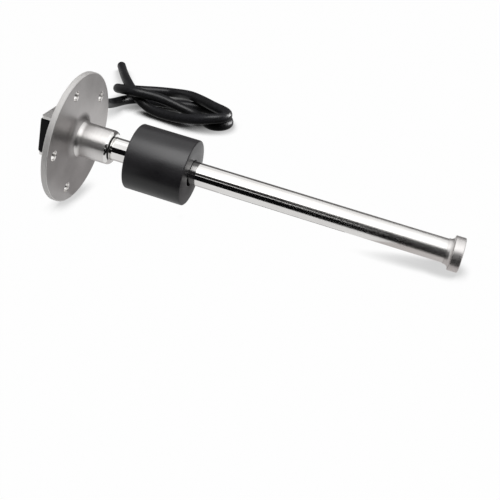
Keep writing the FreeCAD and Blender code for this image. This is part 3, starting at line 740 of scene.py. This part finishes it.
def addFloor():
    # Matt paper whose white is its own glow: close to the pieces the glow is dimmed as painted shade, so
    # a soft shade stays there
    s = studio
    material = bpy.data.materials.new("studioPaper")
    tree = emptyTree(material)
    paper = addNode(tree, "ShaderNodeBsdfDiffuse", {"Color": fromHex(s["paper"])})
    glow = addNode(tree, "ShaderNodeEmission", {"Color": (1, 1, 1, 1), "Strength": s["glow"]})
    closeness = addNode(tree, "ShaderNodeAmbientOcclusion", {
        "Distance": s["shadeReach"] * mm,
    }, samples=16)
    # Painted shade: deep in the coil and faint elsewhere, set by the distance from the coil's middle
    place = addNode(tree, "ShaderNodeTexCoord")
    away = addNode(tree, "ShaderNodeVectorMath", {
        0: place.outputs["Object"], 1: Vector(s["coilMiddle"]) * mm,
    }, operation="DISTANCE")
    least = addNode(tree, "ShaderNodeMapRange", {
        "Value": away.outputs["Value"], "From Min": s["coilReach"][0] * mm,
        "From Max": s["coilReach"][1] * mm, "To Max": s["shadeLeast"],
    })
    nearest = None
    for middle, halves, turn in s["paintedGapShades"]:
        gap = addNode(tree, "ShaderNodeMapping", {
            "Vector": place.outputs["Object"], "Location": Vector(middle) * mm,
            "Rotation": (0, 0, math.radians(turn)), "Scale": (halves[0] * mm, halves[1] * mm, 1),
        }, vector_type="TEXTURE")
        ring = addNode(tree, "ShaderNodeVectorMath", {0: gap.outputs["Vector"]}, operation="LENGTH")
        if nearest:
            ring = addNode(tree, "ShaderNodeMath", {
                0: nearest.outputs["Value"], 1: ring.outputs["Value"],
            }, operation="MINIMUM")
        nearest = ring
    # Painted shadow: inside these spots the floor's glow falls to gapLeast
    most = addNode(tree, "ShaderNodeMapRange", {
        "Value": nearest.outputs["Value"], "From Min": s["gapFade"][0], "From Max": s["gapFade"][1],
        "To Min": s["gapLeast"], "To Max": s["floorShare"],
    })
    openness = addNode(tree, "ShaderNodeMapRange", {
        "Value": closeness.outputs["AO"], "From Min": s["shadeRange"][0], "From Max": s["shadeRange"][1],
        "To Min": least.outputs["Result"], "To Max": most.outputs["Result"],
    })
    direct, mirrored = seenRays(tree)
    dimmed = addNode(tree, "ShaderNodeMath", {0: mirrored, 1: s["mirrorShare"]}, operation="MULTIPLY")
    share = addNode(tree, "ShaderNodeMath", {
        0: direct, 1: openness.outputs["Result"], 2: dimmed.outputs["Value"],
    }, operation="MULTIPLY_ADD")
    mixed = addNode(tree, "ShaderNodeMixShader", {
        0: share.outputs["Value"], 1: paper.outputs["BSDF"], 2: glow.outputs["Emission"],
    })
    addNode(tree, "ShaderNodeOutputMaterial", {"Surface": mixed.outputs["Shader"]})
    half = s["floorHalf"]
    addSheet("floor", lyingCard(-half, -half, half, half, s["floorLevel"] * mm), material)


# Painted reflections: sheets that only shiny surfaces show, which make the dark and light bands in what
# shines. The dark and grey ones stand for flocked and felt card, and the white ones glow brighter than
# the backdrop though they are no lamps: colour and strength
cardShades = {
    "frontCard": ("#0c0c0d", 1), "upperCard": ("#302f2f", 1), "backCard": ("#6c6a6a", 1),
    "flangeCard": ("#c2c0c0", 1), "faceCard": ("#ffffff", 1.25), "underCard": ("#757372", 1),
    "capCard": ("#c8c4c3", 1), "topCard": ("#ffffff", 1.3),
}
# Where the cards stand and lie, in m
cardSizes = {
    "wide": 0.6, "front": -0.5, "frontTall": 0.42, "rear": 0.6, "rearTall": 0.5, "rearNear": 0.25,
    "low": 0.0005, "capLow": 0.0003, "high": 0.95,
    "frontLeft": -0.09, "frontNear": -0.053, "frontRight": (0.12, -0.009), "sideNear": -0.14,
    # A slanting slit between the front cards is the thin bright line in the tube's dark band
    "slitLeft": (-0.2, 0.14), "slitRight": (0.13, 0.065), "slit": 0.035,
}


def lyingCard(left, near, right, far, level):
    return [(left, near, level), (right, near, level), (right, far, level), (left, far, level)]


def standingCard(left, right, depth, foot, top):
    return [(left, depth, foot), (right, depth, foot), (right, depth, top), (left, depth, top)]


def addCards():
    s = cardSizes
    wide, front, rear, low, capLow = (s[key] for key in ("wide", "front", "rear", "low", "capLow"))
    (left, leftSlit), (right, rightSlit) = s["slitLeft"], s["slitRight"]
    corner, tall = s["frontLeft"], s["frontTall"]
    cards = {
        "frontCard": [
            (corner, s["frontNear"], low), (*s["frontRight"], low),
            (wide, front, low), (corner, front, low),
            *lyingCard(-wide, s["sideNear"], corner, front, low),
            (left, front, low), (right, front, low), (right, front, rightSlit), (left, front, leftSlit),
            *standingCard(-wide, left, front, low, tall), *standingCard(right, wide, front, low, tall),
        ],
        "upperCard": [
            (left, front, leftSlit + s["slit"]), (right, front, rightSlit + s["slit"]),
            (right, front, tall), (left, front, tall),
        ],
        "backCard": [
            *standingCard(-wide, wide, rear, low, s["rearTall"]),
            *lyingCard(-wide, s["rearNear"], wide, rear, low),
        ],
        # Sheets on the floor behind the flange, under the tube and by the cap paint lighter and darker
        # reflections there; the grey one under the tube is a painted shadow of the tube in its own
        # reflection
        "flangeCard": lyingCard(-0.1, 0, -0.02, 0.05, low),
        "faceCard": lyingCard(-0.08, 0.05, -0.01, 0.11, low),
        "underCard": [(-0.02, 0.008, low), (0.05, 0.003, low), (0.05, 0.05, low), (-0.02, 0.05, low)],
        "capCard": [
            (0.09, -0.03, capLow), (0.13, -0.03, capLow), (0.13, 0.05, capLow), (0.02, 0.05, capLow),
        ],
        "topCard": lyingCard(-wide, -0.15, wide, 0.35, s["high"]),
    }
    for name, corners in cards.items():
        tint, strength = cardShades[name]
        shade = bpy.data.materials.new(name)
        tree = emptyTree(shade)
        dull = addNode(tree, "ShaderNodeEmission", {"Color": fromHex(tint), "Strength": strength})
        addNode(tree, "ShaderNodeOutputMaterial", {"Surface": dull.outputs["Emission"]})
        card = addSheet(name, corners, shade)
        for kind in ("camera", "diffuse", "transmission", "volume_scatter", "shadow"):
            setattr(card, "visible_" + kind, False)


# Lamps in m and watts. The metal would clip under the light that the black pieces need, so the float and
# the cable have more of it alone
lamps = {
    "keyLamp": {"place": (0.1, -0.45, 0.78), "aim": (0, 0, 0), "size": (0.9, 0.8), "watts": 1.8},
    "floatSheen": {
        "place": (0.09, -0.3, 0.75), "aim": (0, 0, 0), "size": (0.8, 0.7), "watts": 8,
        "only": floatPiece,
    },
    "cableSheen": {
        "place": (-0.05, -0.1, 0.6), "aim": (-0.09, 0.15, 0), "size": (0.5, 0.4), "watts": 40,
        "only": cable,
    },
    "cableRim": {
        "place": (0.16, 0.3, 0.1), "aim": (-0.05, 0.13, 0), "size": (0.15, 0.15), "watts": 9,
        "only": cable,
    },
    "sideLamp": {
        "place": (0.7, 0, 0.12), "aim": (0, 0, 0.03), "size": (0.3, 0.2), "watts": 1.6,
        "mirrored": False,
    },
}


def addLamp(name, place, aim, size, watts, mirrored=True, only=None):
    lamp = bpy.data.lights.new(name, "AREA")
    lamp.shape = "RECTANGLE"
    lamp.size, lamp.size_y = size
    lamp.energy = watts
    holder = bpy.data.objects.new(name, lamp)
    turned = (Vector(aim) - Vector(place)).to_track_quat("-Z", "Y").to_matrix().to_4x4()
    holder.matrix_world = Matrix.Translation(place) @ turned
    holder.visible_glossy = mirrored
    if only:
        holder.light_linking.receiver_collection = bpy.data.collections.new(name)
        holder.light_linking.receiver_collection.objects.link(only)
    scene.collection.objects.link(holder)


addWorld()
addFloor()
addCards()
for name, lamp in lamps.items():
    addLamp(name, **lamp)
print("studio lit")
